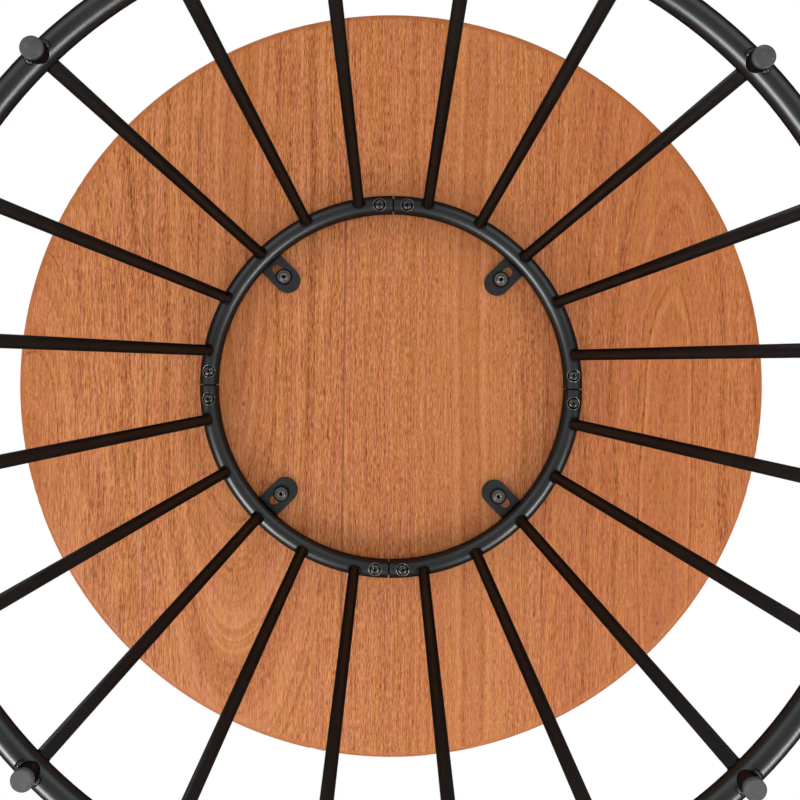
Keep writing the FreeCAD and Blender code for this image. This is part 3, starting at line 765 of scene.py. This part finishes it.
def on_all_sides(path, radius, mirrors):
    """Loops along a path and its copies on the four quarters of the base, mirrored too if so asked."""
    return [lip(turn_about_z(path * [1, mirror, 1], quarter * math.pi / 2), radius)
            for mirror in mirrors for quarter in range(4)]


def socket_rims(name, finish, spots, socket_radius, mirrors):
    """The rounded, rubbed edge round the socket of every screw of a kind."""
    loops = []
    for across, along, face in spots:
        rim = circle(across, along, socket_radius + SOCKET_RIM_RADIUS)
        level = np.full(LIP_STEPS, face + SOCKET_RIM_RISE * SOCKET_RIM_RADIUS)
        loops += on_all_sides(np.column_stack([rim, level]), SOCKET_RIM_RADIUS, mirrors)
    weld_piece(name, loops, finish)


def seat_lips(finish, screws):
    """A thin rounded edge round every splice screw's seat, where the seat's wall meets the tube; its coat is
    worn, and painted paler still as a highlight of the edge.
    """
    lips = []
    for prefix, (across, along, _) in screws.items():
        ring_radius, tube, level = ring_sizes(prefix)
        rim = circle(across, along, SEAT_RADIUS)
        off_line = np.linalg.norm(rim, axis=1) - ring_radius
        edge = np.column_stack([rim, level - np.sqrt(tube ** 2 - off_line ** 2)])
        lips += on_all_sides(edge, LIP_RADIUS, (-1, 1))
    weld_piece("seat_lips", lips, finish)


# Stage: floor that shows only from above, soft light and the camera under the table

WHITE = (1, 1, 1, 1)
FLOOR_HALF = 30.0
FLOOR_DROP = 0.4 * MM
FLOOR_COLOUR = (0.80, 0.80, 0.79, 1)
FLOOR_FADE = (0.7, 2.6)
LIGHT_BELOW = 0.25
LIGHT_ABOVE = 0.70
HORIZON_BLEND = 0.3
MIRRORED_BELOW = 0.47
MIRRORED_LEVEL = 0.12
MIRRORED_ABOVE = 0.8
# height in the surrounding, from 0 straight below to 1 straight above, and the level that the metal mirrors
MIRRORED_BELT = [
    (0.12, MIRRORED_BELOW),
    (0.36, MIRRORED_LEVEL),
    (0.60, MIRRORED_LEVEL),
    (0.85, MIRRORED_ABOVE),
]
NEUTRAL = (1, 1, 1)
COOL = (0.95, 1.0, 1.03)
LIGHT_AIM = (0, 0, 0.25)
# place, width and height, radiance and colour
SHINE_LIGHTS = {
    "shine_left": ((-3.1, 3.1, -2.75), (1.85, 1.35), 31.0, NEUTRAL),
    "shine_right": ((3.1, 3.1, -2.75), (1.85, 1.35), 21.0, NEUTRAL),
    "panel_left": ((-1.6, -1.6, -1.2), (2.2, 1.8), 1.15, COOL),
    "panel_right": ((1.6, -1.6, -1.2), (2.2, 1.8), 1.15, COOL),
}
FILL_LIGHTS = {
    "fill_front": ((0, 2.6, -0.95), (3.6, 1.2), 3.8, NEUTRAL),
    "fill_back": ((0, -2.6, -0.95), (3.6, 1.2), 1.25, NEUTRAL),
    "fill_left": ((-2.6, 0, -0.95), (3.6, 1.2), 2.25, NEUTRAL),
    "fill_right": ((2.6, 0, -0.95), (3.6, 1.2), 2.25, NEUTRAL),
    "fill_below": ((0, 0, -1.5), (1.2, 1.2), 1.9, NEUTRAL),
}
TOP_LIGHTS = {
    "top_box": ((-1.4, -1.8, 2.6), (2.0, 2.0), 2.4, NEUTRAL),
}
CAMERA_SENSOR = 36.0
CAMERA_LENS = 49.14
CAMERA_SHIFT = (0.01575, -0.0875)
CAMERA_ROLL = math.radians(-0.72)
# to the right and down in the picture, from the table's axis
CAMERA_OFFSET = (-0.0039, -0.0604)
CAMERA_DEPTH = 0.743


def make_floor():
    """A pale floor with the part's shadow, fading to white, which does nothing to the view from below."""
    mesh = bpy.data.meshes.new("floor")
    sides = ((-1, -1), (1, -1), (1, 1), (-1, 1))
    floor_corners = [(x * FLOOR_HALF, y * FLOOR_HALF, -FLOOR_DROP) for x, y in sides]
    mesh.from_pydata(floor_corners, [], [(0, 1, 2, 3)])
    floor = bpy.data.objects.new("floor", mesh)
    bpy.context.scene.collection.objects.link(floor)
    material, tree, shader, place = new_material("floor")
    mesh.materials.append(material)
    paint = node(tree, "BsdfDiffuse", {"Color": FLOOR_COLOUR})
    white = node(tree, "Emission", {"Color": WHITE, "Strength": 1.0})
    apart = node(tree, "VectorMath", {0: place}, operation="LENGTH").outputs["Value"]
    fading = stretch(tree, apart, *FLOOR_FADE)
    faded = node(tree, "MixShader", {0: fading, 1: paint.outputs[0], 2: white.outputs[0]})
    from_above = calc(tree, "SUBTRACT", 1.0, node(tree, "NewGeometry").outputs["Backfacing"])
    shown = calc(tree, "MULTIPLY", node(tree, "LightPath").outputs["Is Camera Ray"], from_above)
    clear = node(tree, "BsdfTransparent")
    surface = node(tree, "MixShader", {0: shown, 1: clear.outputs[0], 2: faded.outputs[0]})
    tree.links.new(surface.outputs[0], tree.nodes["Material Output"].inputs["Surface"])
    tree.nodes.remove(shader)


def make_world():
    """White backdrop, even light, and for the metal a pale surrounding with a darker belt at the horizon."""
    world = bpy.data.worlds.new("studio")
    bpy.context.scene.world = world
    world.use_nodes = True
    tree = world.node_tree
    tree.nodes.clear()
    light_path = node(tree, "LightPath").outputs
    toward = node(tree, "SeparateXYZ", {"Vector": node(tree, "TexCoord").outputs["Generated"]}).outputs["Z"]
    even = between(tree, stretch(tree, toward, -HORIZON_BLEND, HORIZON_BLEND), LIGHT_BELOW, LIGHT_ABOVE)
    height = calc(tree, "ADD", calc(tree, "MULTIPLY", toward, 0.5), 0.5)
    greys = [(position, (level, level, level, 1)) for position, level in MIRRORED_BELT]
    reflected = ramp(tree, height, greys)
    backdrop = node(tree, "Background", {"Color": WHITE, "Strength": 1.0})
    mirrored = node(tree, "Background", {"Color": reflected, "Strength": 1.0})
    ambient = node(tree, "Background", {"Color": WHITE, "Strength": even})
    lit = node(tree, "MixShader", {
        0: light_path["Is Glossy Ray"], 1: ambient.outputs[0], 2: mirrored.outputs[0],
    })
    seen = calc(tree, "MAXIMUM", light_path["Is Camera Ray"], light_path["Is Transmission Ray"])
    surface = node(tree, "MixShader", {0: seen, 1: lit.outputs[0], 2: backdrop.outputs[0]})
    output = node(tree, "OutputWorld")
    tree.links.new(surface.outputs[0], output.inputs["Surface"])


def soft_light(name, place, size, radiance, colour):
    """A soft box that faces the middle of the table, unseen by the camera."""
    light = bpy.data.lights.new(name, "AREA")
    light.shape = "RECTANGLE"
    light.size, light.size_y = size
    light.energy = radiance * math.pi * size[0] * size[1]
    light.color = colour
    lamp = bpy.data.objects.new(name, light)
    lamp.location = place
    lamp.rotation_euler = (Vector(LIGHT_AIM) - Vector(place)).to_track_quat("-Z", "Y").to_euler()
    lamp.visible_camera = False
    bpy.context.scene.collection.objects.link(lamp)
    return lamp


def make_lights():
    """Boxes and panels that show only as shine, wide fills that never do, and a box above."""
    for name, values in SHINE_LIGHTS.items():
        soft_light(name, *values).visible_diffuse = False
    for name, values in FILL_LIGHTS.items():
        soft_light(name, *values).visible_glossy = False
    for name, values in TOP_LIGHTS.items():
        soft_light(name, *values)


def make_camera():
    """Looks straight up from under the table, with +X to the right and +Y down."""
    sight = bpy.data.cameras.new("camera")
    sight.sensor_width = CAMERA_SENSOR
    sight.lens = CAMERA_LENS
    sight.shift_x, sight.shift_y = CAMERA_SHIFT
    right, below = round_about(CAMERA_ROLL)
    to_right, to_below = CAMERA_OFFSET
    camera = bpy.data.objects.new("camera", sight)
    camera.location = to_right * right + to_below * below - np.array([0, 0, CAMERA_DEPTH])
    camera.rotation_euler = (math.pi, 0, CAMERA_ROLL)
    bpy.context.scene.collection.objects.link(camera)
    bpy.context.scene.camera = camera


def screw_spot(name, low, high):
    """Place of the axis and lowest level of the first screw after +X, between two levels."""
    points = corners(NODES[name])
    azimuth = np.arctan2(points[:, 1], points[:, 0])
    first = (azimuth > 0) & (azimuth < math.radians(60))
    chosen = points[first & (points[:, 2] > low) & (points[:, 2] < high)]
    across, along, _ = (chosen.min(axis=0) + chosen.max(axis=0)) / 2
    return float(across), float(along), float(chosen[:, 2].min())


def dress_fasteners(splice_spots):
    """Grey tab screws on black washers, black splice screws, hidden bars and inserts, and rubbed edges."""
    tab_spots = [screw_spot("tab_screws", CAD_BOX[0][2], CAD_BOX[1][2])]
    # the splice bars are near black, which keeps what shows through the seam gaps dark
    bar = turned_metal("near_black_bar_steel", splice_spots)
    finishes = {
        "tab_screws": turned_metal("grey_screw_steel", tab_spots, TAB_SOCKET_RADIUS),
        "splice_screws": turned_metal("black_screw_steel", splice_spots, SPLICE_SOCKET_RADIUS, SPLICE_HIGHLIGHT_RING),
        "tab_washers": turned_metal("black_washer", tab_spots),
        "threaded_inserts": turned_metal("plain_steel", tab_spots),
        "upper_splice_bar": bar,
        "lower_splice_bar": bar,
    }
    for prefix, finish in finishes.items():
        dress(prefix, finish)
    bright = turned_metal("rubbed_grey_edge", tab_spots)
    dim = turned_metal("rubbed_black_edge", tab_spots)
    socket_rims("tab_socket_rims", bright, tab_spots, TAB_SOCKET_RADIUS, (1,))
    socket_rims("splice_socket_rims", dim, splice_spots, SPLICE_SOCKET_RADIUS, (-1, 1))


def main():
    """Finishes, added pieces and stage."""
    dress_top()
    floor_level, top_level = CAD_BOX[0][2], CAD_BOX[1][2]
    half_way = (floor_level + top_level) / 2
    splice_screws = {
        "upper_ring_quarter": screw_spot("splice_screws", half_way, top_level),
        "lower_ring_quarter": screw_spot("splice_screws", floor_level, half_way),
    }
    splice_spots = list(splice_screws.values())
    black = powder_coat("powder_coat", splice_spots, COAT_LEVELS)
    for prefix in ("upper_ring", "lower_ring", "rod_", "mounting_tab", "foot_stub"):
        dress(prefix, black)
    dress_fasteners(splice_spots)
    dress("foot_glide", glide_plastic())
    # the rod and tab welds get the darker coat, painted shade for the hollows beside them
    weld_shade_coat = powder_coat("weld_coat_painted_dark", splice_spots, WELD_SHADE_LEVELS)
    weld_rods(weld_shade_coat)
    weld_feet(black)
    weld_tabs(weld_shade_coat)
    seat_lips(turned_metal("worn_and_highlighted_coat_edge", splice_spots), splice_screws)
    make_floor()
    make_world()
    make_lights()
    make_camera()
    bpy.context.scene.view_settings.view_transform = "Standard"


main()
